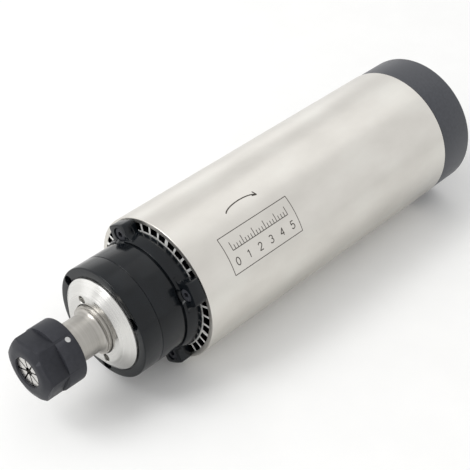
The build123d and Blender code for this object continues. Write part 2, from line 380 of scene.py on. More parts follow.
sheath_steel, tree, shader = new_finish(
    "brushed_stainless_steel", Metallic=1.0, Anisotropic=0.5, Anisotropic_Rotation=0.25
)
grain = add_node(
    tree, "ShaderNodeTexNoise", {"Scale": 1.0, "Detail": 3.0, "Roughness": 0.6},
    {"Vector": stretched(tree, "UV", (per_mm(GRAIN_LENGTH), per_mm(GRAIN_LINE), 1.0))},
)
patches = add_node(
    tree, "ShaderNodeTexNoise", {"Scale": per_mm(HANDLING_PATCH), "Detail": 4.0},
    {"Vector": stretched(tree, "Object", (1.0, 0.45, 1.0))},
)
tone = add_node(
    tree, "ShaderNodeValToRGB",
    {"stops": [(0.3, linear("#cbc8c2")), (0.5, linear("#d2cfc9")), (0.72, linear("#d8d6d0"))]},
    {"Fac": patches.outputs["Fac"]},
)
dressed(tree, shader, tone, grain, smooth=0.28, coarse=0.38, strength=0.06)
tangent = add_node(tree, "ShaderNodeTangent", {"direction_type": "RADIAL", "axis": "Y"})
tree.links.new(tangent.outputs["Tangent"], shader.inputs["Tangent"])

# %% [markdown]
# ## Black anodised aluminium
# The nose flange and the bearing cover are turned from aluminium and anodised black. The oxide
# is glassy and clear over a black dye, so they mirror what stands near them, with a faint
# trace of the lathe's rings underneath, drawn 0.9 mm apart where the real ones are 0.1 mm. It
# isn't a bare metal to light any more, so Metallic is zero and the refractive index does the
# mirroring. It starts from the oxide's own and is lowered until the black looks deep enough.

# %% Nose finish
LATHE_RING = 0.9
RING_LENGTH = 60.0
DYE_PATCH = 9.0

black_anodised, tree, shader = new_finish("black_anodised_aluminium", Metallic=0.0, IOR=1.34)
rings = add_node(
    tree, "ShaderNodeTexNoise", {"Scale": 1.0, "Detail": 2.0},
    {"Vector": stretched(tree, "UV", (per_mm(RING_LENGTH), per_mm(LATHE_RING), 1.0))},
)
dye = add_node(
    tree, "ShaderNodeTexNoise", {"Scale": per_mm(DYE_PATCH), "Detail": 4.0},
    {"Vector": stretched(tree, "Object")},
)
tone = add_node(
    tree, "ShaderNodeValToRGB",
    {"stops": [(0.3, linear("#0d1013")), (0.7, linear("#14181c"))]},
    {"Fac": dye.outputs["Fac"]},
)
dressed(tree, shader, tone, rings, smooth=0.14, coarse=0.22, strength=0.04)


# %% [markdown]
# ## Turned and ground steels
# The locking cap, the shaft and the collet are bare steel. They share one recipe with different
# numbers: rings left by the tool, drawn coarser than the real 0.1 mm feed so that they show,
# and a highlight pulled across the rings by anisotropy, which makes the bright fans on a turned
# face.

# %% Bare steel recipe
TURNED_RING_LENGTH = 90.0


def turned_steel(name, dark, light, ring, smooth, coarse, pull):
    """Bare turned steel from its two tones, ring spacing in mm, roughness range and anisotropy."""
    finish, tree, shader = new_finish(
        name, Metallic=1.0, Anisotropic=pull, Anisotropic_Rotation=0.25
    )
    rings = add_node(
        tree, "ShaderNodeTexNoise", {"Scale": 1.0, "Detail": 3.0},
        {"Vector": stretched(tree, "UV", (per_mm(TURNED_RING_LENGTH), per_mm(ring), 1.0))},
    )
    tone = add_node(
        tree, "ShaderNodeValToRGB", {"stops": [(0.3, linear(dark)), (0.7, linear(light))]},
        {"Fac": rings.outputs["Fac"]},
    )
    dressed(tree, shader, tone, rings, smooth, coarse, strength=0.05)
    tangent = add_node(tree, "ShaderNodeTangent", {"direction_type": "RADIAL", "axis": "Y"})
    tree.links.new(tangent.outputs["Tangent"], shader.inputs["Tangent"])
    return finish


polished_steel = turned_steel("fine_turned_steel", "#cbcac7", "#d8d7d4", 0.8, 0.2, 0.3, 0.8)
ground_steel = turned_steel("ground_shaft_steel", "#a5a29c", "#b4b1ac", 1.0, 0.3, 0.38, 0.6)
collet_steel = turned_steel("ground_spring_steel", "#bdbbb8", "#dddbd8", 0.7, 0.2, 0.32, 0.3)
bearing_steel = turned_steel("bearing_steel", "#b9babd", "#d9dadd", 0.8, 0.1, 0.2, 0.2)

# %% [markdown]
# ## Blackened steel
# The nut and the socket screws are steel, blackened in hot salts. The black is a thin layer of
# magnetite and mirrors little, so Metallic is zero and the index is lowered until the flats show
# only a soft grey sheen. The corners, found by Pointiness, are drawn a little brighter: partly the
# rub of spanners, partly a painted highlight that makes the edges read as clean lines.

# %% Nut and screw finish
SPANNER_RUB = 2.4

blackened_steel, tree, shader = new_finish("black_oxide_steel", Metallic=0.0, IOR=1.25)
mottle = add_node(
    tree, "ShaderNodeTexNoise", {"Scale": per_mm(SPANNER_RUB), "Detail": 5.0, "Roughness": 0.65},
    {"Vector": stretched(tree, "Object")},
)
shape = add_node(tree, "ShaderNodeNewGeometry")
# Painted highlight and wear: pointed corners are drawn lighter than the flats.
rubbed_and_highlit_corners = add_node(
    tree, "ShaderNodeValToRGB",
    {"stops": [(0.5, linear("#2b2c31")), (0.56, linear("#414247"))]},
    {"Fac": shape.outputs["Pointiness"]},
)
tone = add_node(
    tree, "ShaderNodeMixRGB", {"blend_type": "OVERLAY", "Fac": 0.3},
    {"Color1": rubbed_and_highlit_corners.outputs["Color"], "Color2": mottle.outputs["Fac"]},
)
dressed(tree, shader, tone, mottle, smooth=0.36, coarse=0.5, strength=0.08)


# %% [markdown]
# ## Paint, plastics, castings and plated metal
# The rear cover is die-cast and sprayed with a satin blue-grey paint, whose slight orange peel
# breaks up its highlight. The same grain recipe serves the pieces inside, the plated socket and
# the laser marks, each with its own tones, grain size in millimetres and depth. The laminations
# and the copper wires are finer than they can show, so their grain is drawn coarser and pulled
# out along them.

# %% Grained finishes
def grained(name, dark, light, grain_size, smooth, coarse, depth, stretch=(1, 1, 1), **sockets):
    """A finish from two tones, with grain of one size in its colour, gloss and height."""
    finish, tree, shader = new_finish(name, **sockets)
    grain = add_node(
        tree, "ShaderNodeTexNoise", {"Scale": per_mm(grain_size), "Detail": 4.0},
        {"Vector": stretched(tree, "Object", stretch)},
    )
    tone = add_node(
        tree, "ShaderNodeValToRGB", {"stops": [(0.32, linear(dark)), (0.68, linear(light))]},
        {"Fac": grain.outputs["Fac"]},
    )
    dressed(tree, shader, tone, grain, smooth, coarse, strength=0.25, depth=depth)
    return finish


cover_paint = grained(
    "satin_blue_grey_paint", "#383a40", "#414349", 1.6, 0.36, 0.46, 0.03, IOR=1.45
)
cast_aluminium = grained(
    "sand_cast_aluminium", "#9b9c9d", "#bcbdbe", 1.0, 0.45, 0.6, 0.08, Metallic=1.0
)
fan_nylon = grained("moulded_black_nylon", "#17181a", "#202124", 1.2, 0.45, 0.55, 0.02, IOR=1.53)
insert_plastic = grained(
    "moulded_socket_insert", "#131416", "#1c1d20", 0.8, 0.4, 0.5, 0.01, IOR=1.55
)
cage_resin = grained("phenolic_cage", "#6a421f", "#86552a", 0.8, 0.4, 0.55, 0.02, IOR=1.6)
lamination = grained(
    "stacked_lamination_steel", "#6b6d70", "#85878a", 0.7, 0.35, 0.55, 0.04,
    stretch=(0.1, 1, 0.1), Metallic=1.0,
)
enamel_copper = grained(
    "varnished_copper_wire", "#8a3f1a", "#b85c29", 0.9, 0.2, 0.35, 0.1,
    stretch=(1, 0.2, 1), Metallic=1.0,
)
nickel = grained("nickel_plated_brass", "#b9b6ae", "#cfccc4", 2.0, 0.14, 0.24, 0.01, Metallic=1.0)
pin_brass = grained("gold_plated_pin", "#c79a4a", "#dcb262", 0.8, 0.15, 0.25, 0.01, Metallic=1.0)
laser_mark = grained("laser_marked_steel", "#37322d", "#4f4a44", 0.5, 0.5, 0.7, 0.01, Metallic=0.4)
spotted_steel = grained(
    "drilled_bright_steel", "#b2b2b1", "#d2d2d1", 0.4, 0.25, 0.4, 0.01, Metallic=1.0
)
print(len(bpy.data.materials), "materials in the file")


# %% [markdown]
# ## Aluminium extrusion with painted shade and bare ends
# The finned core is an aluminium extrusion, sawn and faced to length. Its bare faced ends are drawn
# bright, and everything else is painted near black as a painted shade for the deep shade inside
# the channels, so the eye sees bright fin ends round black channels. The finish finds the ends by
# their place along the piece. Two materials on the one mesh would do as well, but then each end
# face would have to be picked out by hand.

# %% Core finish
FACED_DEPTH = 0.15
SAW_LINE = 0.9
core_front, core_rear = span("finned_core")

extrusion_with_painted_shade, tree, shader = new_finish("extrusion_painted_shade_bright_ends", Metallic=1.0)
spot = add_node(tree, "ShaderNodeTexCoord")
along = add_node(tree, "ShaderNodeSeparateXYZ", links={"Vector": spot.outputs["Object"]})
front_end = add_node(
    tree, "ShaderNodeMath", {"operation": "LESS_THAN", 1: (core_front + FACED_DEPTH) * MM},
    {0: along.outputs["Y"]},
)
rear_end = add_node(
    tree, "ShaderNodeMath", {"operation": "GREATER_THAN", 1: (core_rear - FACED_DEPTH) * MM},
    {0: along.outputs["Y"]},
)
faced = add_node(
    tree, "ShaderNodeMath", {"operation": "MAXIMUM"},
    {0: front_end.outputs["Value"], 1: rear_end.outputs["Value"]},
)
saw_lines = add_node(
    tree, "ShaderNodeTexNoise", {"Scale": per_mm(SAW_LINE), "Detail": 3.0},
    {"Vector": stretched(tree, "Object", (1.0, 0.05, 0.4))},
)
bare = add_node(
    tree, "ShaderNodeValToRGB",
    {"stops": [(0.3, linear("#ececea")), (0.7, linear("#fafaf8"))]},
    {"Fac": saw_lines.outputs["Fac"]},
)
# Painted shade: all but the faced ends is drawn near black, standing for the shade in the channels.
tone = add_node(
    tree, "ShaderNodeMixRGB", {"Color1": linear("#141517")},
    {"Fac": faced.outputs["Value"], "Color2": bare.outputs["Color"]},
)
dressed(tree, shader, tone, saw_lines, smooth=0.6, coarse=0.72, strength=0.1)

# %% [markdown]
# ## Handing a piece to the frame
# A finished mesh needs its finish, the moving body that it rides on, and the CAD solids that it
# stands for, if there are any. One helper gives all three, so no piece can be left without one
# of them.

# %% Place a piece
def place(piece, finish, body, slot_name, *nodes):
    """Give a piece its finish and body, and let it stand for CAD nodes; the slot name is not used.
    """
    piece.data.materials.clear()
    piece.data.materials.append(finish)
    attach(piece, body)
    if nodes:
        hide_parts(*nodes)
    print(f"{piece.name}: {len(piece.data.polygons)} faces")
    return piece


# %% [markdown]
# ## The steel body
# The body is a length of steel tube with both ends faced. Its outer edge is broken at the front,
# which shows as a bright line round the end face. A cylinder with a Solidify modifier would look
# the same, but the turned outline says in four corners where every edge lies.

# %% Sheath
sheath_wall = 2.6
sheath_bore = body_radius - sheath_wall
front_break, edge_break = 0.45, 0.2

place(
    turned("body_tube", [
        (sheath_front, sheath_bore, edge_break),
        (sheath_front, body_radius, front_break),
        (sheath_rear, body_radius, edge_break),
        (sheath_rear, sheath_bore, edge_break),
    ]),
    sheath_steel, "housing", "sheath_steel", "steel_sheath",
)

# %% [markdown]
# ## The finned core
# The core is the aluminium extrusion that carries the motor and lets the fan's air through. Its
# outline goes round in one line: up each fin, across its tip and down again to the channel floor.
# A fin has parallel sides, so its tip takes less angle than its root. Cutting the channels out of
# a cylinder would need 32 cuts. Joining each outline point to the bore at the same angle makes
# the end faces in one pass, without any triangulation.

# %% Core
fin_height, core_wall, fin_clearance = 4.0, 2.9, 0.05
channel_floor = sheath_bore - fin_height
core_bore = channel_floor - core_wall
fin_tip = sheath_bore - fin_clearance
fin_width, middle_fin_width, land_width = 1.2, 2.0, 10.0
fin_pitch, fins_per_side = 9.5, 3
first_land = 30.5
land_steps = 5
FLOOR_STEP = math.radians(2.2)

ribs = []
for quarter in range(4):
    ribs.append((math.radians(first_land + 90 * quarter), land_width))
    for fin in range(-fins_per_side, fins_per_side + 1):
        spot_angle = math.radians(first_land + 45 + 90 * quarter + fin_pitch * fin)
        ribs.append((spot_angle, fin_width if fin else middle_fin_width))
ribs.sort()

outline = []
for index, (rib_angle, width) in enumerate(ribs):
    root = math.asin(width / 2 / channel_floor)
    tip = math.asin(width / 2 / fin_tip)
    facets = land_steps if width == land_width else 1
    outline.append((channel_floor, rib_angle - root))
    outline += [(fin_tip, rib_angle + tip * (2 * k / facets - 1)) for k in range(facets + 1)]
    outline.append((channel_floor, rib_angle + root))
    next_angle, next_width = ribs[(index + 1) % len(ribs)]
    until = next_angle - math.asin(next_width / 2 / channel_floor)
    gap = (until - rib_angle - root) % math.tau
    steps = max(1, round(gap / FLOOR_STEP))
    outline += [(channel_floor, rib_angle + root + gap * k / steps) for k in range(1, steps)]

core_mesh = bmesh.new()
loops = []
for y in (core_front, core_rear):
    for rim in (outline, [(core_bore, spot_angle) for _, spot_angle in outline]):
        loops.append([
            core_mesh.verts.new((r * MM * math.cos(at), y * MM, r * MM * math.sin(at)))
            for r, at in rim
        ])
front_rim, front_bore, rear_rim, rear_bore = loops
walls = [
    (front_rim, front_bore), (rear_rim, rear_bore), (front_rim, rear_rim), (front_bore, rear_bore),
]
for near, far in walls:
    for index in range(len(outline)):
        core_mesh.faces.new((near[index - 1], near[index], far[index], far[index - 1]))
place(
    as_object(core_mesh, "finned_extrusion"),
    extrusion_with_painted_shade, "housing", "extruded_aluminium", "finned_core",
)

# %% [markdown]
# ## The nose flange
# The flange holds the front bearings and closes the body. It starts as a turned drum: a cylinder,
# a narrow groove, and a skirt that flares towards the body. Four lugs stand on the skirt, each
# with a counterbored hole for a socket screw that pulls the flange against the core.

# %% Flange blank
lug_angles = [first_land + 90 * k for k in range(4)]
flange_rear_y = sheath_front - HAIR
groove_front, groove_rear = -9.8, -8.7
groove_radius = nose_radius - 0.7
skirt_front_radius, skirt_radius = nose_radius + 0.6, nose_radius + 2.25
skirt_step_y = -3.5
bearing_pocket, bearing_lip = 21.03, 18.4
pocket_end_y = -6.47

flange_blank = turned("nose_flange", [
    (joint_y, bearing_pocket, 0.3),
    (joint_y, nose_radius, 0.5),
    (groove_front, nose_radius, 0.2),
    (groove_front, groove_radius),
    (groove_rear, groove_radius),
    (groove_rear, skirt_front_radius, 0.2),
    (skirt_step_y, skirt_radius, 2.4),
    (flange_rear_y, skirt_radius, 0.7),
    (flange_rear_y, bearing_lip),
    (pocket_end_y, bearing_lip),
    (pocket_end_y, bearing_pocket),
])

# %% [markdown]
# ## The flange's lugs
# On the real flange the lugs are left standing when the rest is milled away. Here it is simpler
# to make them as prisms with filed edges and to join them on. Each lug flares out at its foot,
# where the milling cutter ran round it.

# %% Lugs
lug_front_y = -7.4
lug_reach = body_radius - 0.65
lug_half_width = 6.4
lug_corner, lug_flare, lug_edge = 1.8, 3.4, 0.5
lug_root = nose_radius - 2

lug_half_angle = math.asin(lug_half_width / lug_reach)
lug_arc = [lug_half_angle * k / 3 for k in range(-3, 4)]
lug_outer = [(lug_reach * math.cos(spot), lug_reach * math.sin(spot)) for spot in lug_arc]
lug_outer[0] += (lug_corner,)
lug_outer[-1] += (lug_corner,)
lug_foot = lug_half_width + lug_flare
lug_section = [
    (lug_root, -lug_foot),
    (nose_radius, -lug_foot),
    (nose_radius, -lug_half_width, lug_flare),
    *lug_outer,
    (nose_radius, lug_half_width, lug_flare),
    (nose_radius, lug_foot),
    (lug_root, lug_foot),
]

lugs = []
for angle in lug_angles:
    lug = prism("lug", lug_section, lug_front_y, flange_rear_y, angle)
    lugs.append(broken_edges(lug, lug_edge))
worked(flange_blank, lugs, "UNION")

# %% [markdown]
# ## Drilling the flange
# A counterbore is a flat-bottomed hole that hides a screw's head. One cutter is turned for all
# four, and a copy of it is carried to each place, as one drill goes round the real flange. A
# second, longer cutter clears the way for the heads through the skirt.

# %% Screw pockets
screw_circle = body_radius - 6.3
counterbore = 3.65
pocket_floor_y = -3.2
HOLE_STEPS = 48
TOOL_LEAD = 2


def hole_tool(radius, y_front, y_floor, mouth=0.3):
    """Cutter for a flat-bottomed hole from the front, with a small chamfer at its mouth."""
    return turned("tool", [
        (y_front - TOOL_LEAD, 0),
        (y_front - TOOL_LEAD, radius + mouth + TOOL_LEAD),
        (y_front + mouth, radius),
        (y_floor, radius),
        (y_floor, 0),
    ], HOLE_STEPS)


def plain_tool(radius, y_from, y_to, steps=HOLE_STEPS):
    """Cutter for a plain round hole from one station to another."""
    return turned("tool", [(y_from, 0), (y_from, radius), (y_to, radius), (y_to, 0)], steps)


def drilled(piece, tool, circle, angles):
    """Cut a hole with a copy of the tool at each angle of a circle, and put the tool away."""
    for angle in angles:
        cutter = tool.copy()
        cutter.data = tool.data.copy()
        bpy.context.scene.collection.objects.link(cutter)
        worked(piece, [moved(cutter, circle, angle)])
    bpy.data.objects.remove(tool)
    return piece


lug_tool = hole_tool(counterbore, lug_front_y, pocket_floor_y)
skirt_tool = plain_tool(counterbore, groove_front - 1, pocket_floor_y)
drilled(flange_blank, lug_tool, screw_circle, lug_angles)
drilled(flange_blank, skirt_tool, screw_circle, lug_angles)
place(flange_blank, black_anodised, "housing", "black_anodised", "front_flange")


# %% [markdown]
# ## Socket screws
# M4 socket cap screws hold the flange and the rear cover, and smaller ones hold the bearing
# cover. Each head is turned with a broken rim and has a hexagon socket. Only the heads are made,
# because nothing else of a screw can be seen. All the screws of one group are one object, as
# they would be one item on a parts list.

# %% Screws
head_radius, head_break = 3.5, 0.35
socket_across, socket_depth = 3.0, 2.2
HEAD_STEPS = 64


def cap_screw(head_y, seat_y, twist, radius):
    """Head of a socket cap screw about the spindle axis, facing the nose or the rear."""
    facing = -1 if head_y < seat_y else 1
    head = turned("screw", [
        (head_y, 0),
        (head_y, radius, head_break),
        (seat_y, radius),
        (seat_y, 0),
    ], HEAD_STEPS)
    near, deep = sorted((head_y + facing, head_y - facing * socket_depth))
    return worked(head, [prism("tool", hexagon(socket_across), near, deep, twist)])


def screw_ring(name, head_y, seat_y, circle, angles, twists, radius=head_radius):
    """A ring of screw heads as one object, each socket stopped at its own twist in degrees."""
    heads = [
        moved(cap_screw(head_y, seat_y, twist, radius), circle, angle)
        for angle, twist in zip(angles, twists)
    ]
    place(joined(name, heads), blackened_steel, "housing", "blackened_steel")


screw_head_y = lug_front_y + 0.55
screw_ring("nose_screws", screw_head_y, pocket_floor_y, screw_circle, lug_angles, (0, 17, 34, 51))

# %% [markdown]
# ## The bearing cover
# This black ring bolts over the front bearings. Its rim is rounded, and a shallow seat round the
# bore takes the bright cap. The seat is cut a little wide, so a narrow shadow goes round the cap,
# and the cap's edge half hides the three screw recesses. As a turned ring with three drilled
# holes it is made here in the same steps as in the workshop.

# %% Bearing cover
cap_radius = reach("locking_cap")
cap_seat_y = rim_y + 0.6
cap_gap = 0.75
seat_bore = cap_radius + cap_gap
cover_bore = 20.03
cover_screw_circle = 26.7
cover_screw_angles = [31 + 120 * k for k in range(3)]
cover_counterbore, cover_head_radius = 3.2, 2.75
cover_head_y, cover_pocket_y = rim_y + 2.6, rim_y + 5.6
drilled_mouth = 0.2

bearing_cover = turned("bearing_cover_ring", [
    (joint_y, cover_bore, 0.2),
    (joint_y, nose_radius, 0.5),
    (rim_y, nose_radius, 0.7),
    (rim_y, seat_bore, 0.1),
    (cap_seat_y, seat_bore),
    (cap_seat_y, cover_bore),
])
recess_tool = hole_tool(cover_counterbore, rim_y, cover_pocket_y, drilled_mouth)
drilled(bearing_cover, recess_tool, cover_screw_circle, cover_screw_angles)
place(bearing_cover, black_anodised, "housing", "black_anodised", "bearing_cover")

screw_ring(
    "cover_screws", cover_head_y, cover_pocket_y, cover_screw_circle, cover_screw_angles,
    twists=(11, 34, 57), radius=cover_head_radius,
)

# %% [markdown]
# ## The locking cap
# A bright steel cap screws into the bearing cover and closes the gap round the shaft. Its cone
# was turned in one pass, so it shines in fans. Two small holes take a pin spanner, so they are
# drilled into the turned cap where the spanner's pins would go.

# %% Locking cap
cap_face_radius = 18.6
cap_bore = 13.6
cap_skirt = 19.97
cap_edge_y = rim_y - 0.9
pin_circle, pin_radius, pin_depth = 16.0, 2.1, 3.2
pin_angles = (118, 298)

locking_cap = turned("pin_spanner_cap", [
    (cap_face_y, cap_bore, 0.3),
    (cap_face_y, cap_face_radius, 0.25),
    (cap_edge_y, cap_radius, 0.3),
    (cap_seat_y, cap_radius, 0.15),
    (cap_seat_y, cap_skirt),
    (cap_tail_y, cap_skirt),
    (cap_tail_y, cap_bore),
])
pin_tool = hole_tool(pin_radius, cap_face_y, cap_face_y + pin_depth, drilled_mouth)
drilled(locking_cap, pin_tool, pin_circle, pin_angles)
place(locking_cap, polished_steel, "housing", "polished_steel", "locking_cap")

# %% [markdown]
# ## The shaft
# The shaft is turned and ground from one bar. In front of the cap a thin collar throws off dust,
# a hollow flare runs down to the neck, and under the nut the neck ends in the fine thread. The
# front end is bored with the 8 degree taper that closes the collet. The flare is a quarter of an
# ellipse, worked out as points of the outline, so one turning gives the whole shaft.

# %% Shaft
neck_radius = 10.7
neck_rear_y, neck_front_y = -47.0, -62.0
collar_front_y = cap_face_y - 1.6
collar_radius = 13.2
flare_radius, flare_start_y = 12.5, collar_front_y - 0.4
seat_radius = 12.47
shoulder_radius, shoulder_y = 15.0, joint_y - 3.5
thread_radius, thread_core = 12.4, 11.75
thread_rear_y = neck_front_y + 0.6
taper_mouth, taper_bottom = 10.49, 7.09
taper_bottom_y = collet_end_y + 0.5
step_y = 175.5
tail_radius = 7.47
flare_steps = 6

flare = []
for step in range(flare_steps + 1):
    turn_down = step / flare_steps * math.pi / 2
    y = flare_start_y + (neck_rear_y - flare_start_y) * (1 - math.cos(turn_down))
    depth = (flare_radius - neck_radius) * (1 - math.sin(turn_down))
    flare.append((y, neck_radius + depth))

place(
    turned("spindle_shaft_turned", [
        (taper_bottom_y, 0),
        (taper_bottom_y, taper_bottom),
        (shaft_nose_y, taper_mouth, 0.3),
        (shaft_nose_y, thread_core, 0.3),
        (thread_rear_y, thread_core),
        (thread_rear_y, neck_radius),
        *reversed(flare),
        (collar_front_y, flare_radius),
        (collar_front_y, collar_radius, 0.25),
        (shoulder_y, collar_radius),
        (shoulder_y, shoulder_radius),
        (joint_y, shoulder_radius),
        (joint_y, seat_radius),
        (step_y, seat_radius, 0.4),
        (step_y, tail_radius),
        (shaft_tail_y, tail_radius, 0.6),
        (shaft_tail_y, 0),
    ]),
    ground_steel, "spindle", "ground_steel", "spindle_shaft",
)

# %% [markdown]
# ## Screw threads
# A thread is a ridge wound on a core. Winding a small triangle along a helix gives the true
# form, with a start and an end, at little cost. Plain rings would be simpler but never lead
# anywhere. The ridge's half width is a share of the pitch, and its root is sunk a little into
# the core so that no gap can open under it.

# %% Thread ridge
THREAD_STEPS = 64
RIDGE_HALF = 0.42
RIDGE_ROOT = 0.15
nose_pitch = 1.5


def thread_ridge(name, core, crest, y_start, y_end, pitch):
    """A closed triangular ridge wound on a core from one station to another."""
    mesh = bmesh.new()
    turns = abs(y_end - y_start) / pitch
    count = int(turns * THREAD_STEPS)
    sections = []
    for step in range(count + 1):
        angle = step / THREAD_STEPS * math.tau
        y = y_start + (y_end - y_start) * step / count
        run_out = min(1.0, step / THREAD_STEPS * 2, (count - step) / THREAD_STEPS * 2)
        height = core + (crest - core) * run_out
        half, root = pitch * RIDGE_HALF, core - RIDGE_ROOT
        corners = [(y - half, root), (y, height), (y + half, root)]
        sections.append([
            mesh.verts.new((r * MM * math.cos(angle), along * MM, r * MM * math.sin(angle)))
            for along, r in corners
        ])
    for here, after in zip(sections, sections[1:]):
        for side in range(3):
            mesh.faces.new((here[side - 1], here[side], after[side], after[side - 1]))
    mesh.faces.new(sections[0])
    mesh.faces.new(sections[-1])
    return as_object(mesh, name)


nose_thread = thread_ridge(
    "nose_thread", thread_core, thread_radius, shaft_nose_y + 0.9, neck_front_y - 0.4, nose_pitch
)
place(nose_thread, ground_steel, "spindle", "ground_steel")

# %% [markdown]
# ## The collet
# The collet is a spring steel cone, slit into petals from both ends so that it can close all
# round. The groove behind its head is where the nut's lip takes hold to pull it out again. It is
# turned whole and then slit with eight thin saw cuts from each end.

# %% Collet
collet_radius, collet_face_radius, collet_end_radius = 10.5, 8.4, 7.08
tool_radius = 1.5875
relief_radius, relief_y = 2.2, collet_face_y + 9.0
head_end_y = collet_face_y + 3.64
groove_y, groove_end_y = collet_face_y + 4.74, collet_face_y + 7.14
groove_floor = 8.7
slot_half, slot_angle, slot_step = 0.4, 16.0, 45.0
front_bridge, rear_bridge = 9.0, 6.0
blade_reach, blade_overrun = 12, 1

collet = turned("er_collet", [
    (collet_face_y, relief_radius, 0.1),
    (collet_face_y, collet_face_radius, 0.15),
    (head_end_y, collet_radius, 0.2),
    (groove_y, collet_radius, 0.2),
    (groove_y, groove_floor, 0.2),
    (groove_end_y, groove_floor, 0.2),
    (groove_end_y, collet_radius, 0.2),
    (collet_end_y, collet_end_radius, 0.3),
    (collet_end_y, tool_radius),
    (relief_y, tool_radius),
    (relief_y, relief_radius),
])


def saw_cuts(y_from, y_to, first_angle):
    """Cross of thin blades through the axis: four blades cut eight slots."""
    blade = rectangle(-blade_reach, blade_reach, slot_half)
    return [prism("tool", blade, y_from, y_to, first_angle + slot_step * k) for k in range(4)]


front_cuts = saw_cuts(collet_face_y - blade_overrun, collet_end_y - rear_bridge, slot_angle)
worked(collet, front_cuts)
rear_start_y, rear_angle = collet_face_y + front_bridge, slot_angle + slot_step / 2
worked(collet, saw_cuts(rear_start_y, collet_end_y + blade_overrun, rear_angle))
place(collet, collet_steel, "chuck", "collet_steel", "collet")

# %% [markdown]
# ## The collet nut
# The nut is turned, milled to six flats over its front half, and blackened. Where the cutter
# stopped, each flat ends in a step shaped like a crescent. Inside are the 30 degree seat that
# pushes the collet home and the lip that pulls it out. A hexagonal prism would miss the
# crescents, so the flats are milled here too.

# %% Nut
nut_radius, nut_bore, nut_edge = 17.0, 12.6, 0.12
nut_front_y = nut_face_y + 0.1
face_ring_radius = 11.6
face_edge_y, face_edge_radius = -81.4, 15.8
shoulder_edge_y = face_edge_y + 1.2
mouth_radius, cone_radius, pocket_radius = 8.35, 8.75, 10.62
mouth_y, cone_y = collet_face_y - 0.1, collet_face_y + 0.25
lip_radius, lip_y, lip_end_y = 9.1, collet_face_y + 4.86, collet_face_y + 7.02
flat_angles = [34 + 60 * k for k in range(6)]
flat_reach, flat_rear_y = 14.88, -71.0
mill_width, mill_half_length, mill_overrun = 8, 14, 5

collet_nut = turned("hexagon_collet_nut", [
    (nut_front_y, mouth_radius, 0.2),
    (nut_front_y, face_ring_radius, 1.2),
    (face_edge_y, face_edge_radius, 0.3),
    (shoulder_edge_y, nut_radius, 0.3),
    (nut_rear_y, nut_radius, 0.7),
    (nut_rear_y, nut_bore, 0.5),
    (lip_end_y, nut_bore),
    (lip_end_y, lip_radius, 0.2),
    (lip_y, lip_radius, 0.2),
    (lip_y, pocket_radius),
    (head_end_y, pocket_radius),
    (cone_y, cone_radius),
    (mouth_y, mouth_radius),
])
mill = rectangle(flat_reach, flat_reach + mill_width, mill_half_length)
mill_start_y = nut_face_y - mill_overrun
worked(collet_nut, [
    prism("tool", mill, mill_start_y, flat_rear_y, angle) for angle in flat_angles
])
broken_edges(collet_nut, nut_edge)

# %% [markdown]
# ## The balance spot
# A nut that turns at thousands of turns a minute has to be balanced, so a little steel is drilled
# out of its heavy side. The drill cuts through the black and leaves a bright hollow. The hollow
# is cut from the nut, and its bright floor is a thin piece of its own, so that it can have a
# finish of its own.

# %% Balance spot
balance_angle, balance_y, balance_radius = 58.0, -64.0, 1.5
balance_depth = 0.8
balance_floor = nut_radius - balance_depth
spot_radius = balance_radius - HAIR


def radial(piece, angle, y):
    """Point a piece made along +Y outward at an angle and station."""
    outward = Vector((math.cos(math.radians(angle)), 0, math.sin(math.radians(angle))))
    turn = Vector((0, 1, 0)).rotation_difference(outward).to_matrix().to_4x4()
    piece.data.transform(Matrix.Translation((0, y * MM, 0)) @ turn)
    return piece


drill = turned("tool", [
    (balance_floor - 0.5, 0),
    (balance_floor, balance_radius),
    (nut_radius + TOOL_LEAD, balance_radius),
    (nut_radius + TOOL_LEAD, 0),
], HOLE_STEPS)
worked(collet_nut, [radial(drill, balance_angle, balance_y)])
place(collet_nut, blackened_steel, "chuck_nut", "blackened_steel", "collet_nut")

spot = turned("balance_spot", [
    (balance_floor - 0.75, 0),
    (balance_floor - 0.25, spot_radius),
    (balance_floor + 0.05, spot_radius, 0.05),
    (balance_floor - 0.4, 0),
], HOLE_STEPS)
place(radial(spot, balance_angle, balance_y), spotted_steel, "chuck_nut", "collet_steel")

# %% [markdown]
# ## The rear cover
# A painted cup covers the fan. It stops half a millimetre short of the steel body, which leaves
# a narrow open joint. Air enters through a ring of rounded slots, and four screws pull the cup's
# bosses against the carrier inside, so the bosses reach in past the rim. The cup is turned, and
# the bosses are joined on before anything is drilled through them.

# %% Rear cover
cover_radius = body_radius - 0.3
cover_inside = body_radius - 4.05
panel_y = rear_face_y - 2.4
rear_gap = 0.5
cover_front_y = sheath_rear + rear_gap
boss_circle, boss_half_depth, boss_half_width = 34.2, 2.7, 4.0
boss_end_y = panel_y + 0.5
grille_circle, grille_half_length, grille_half_width = 23.5, 6.5, 1.7
grille_round, grille_slots = 1.6, 16

rear_cover = turned("fan_cover", [
    (cover_front_y, cover_inside, 0.2),
    (cover_front_y, cover_radius, 0.2),
    (rear_face_y, cover_radius, 1.6),
    (rear_face_y, 0),
    (panel_y, 0),
    (panel_y, cover_inside, 1.2),
])
boss_section = rectangle(
    boss_circle - boss_half_depth, boss_circle + boss_half_depth, boss_half_width
)
worked(rear_cover, [
    prism("boss", boss_section, boss_front_y, boss_end_y, angle) for angle in lug_angles
], "UNION")

# %% [markdown]
# ## The grille and its screws
# The slots radiate from the middle, sixteen to the round, and have round ends because a milling
# cutter makes them. A loop cuts one slot at a time, and the screw pockets use the drilling helper
# again, this time from the rear.

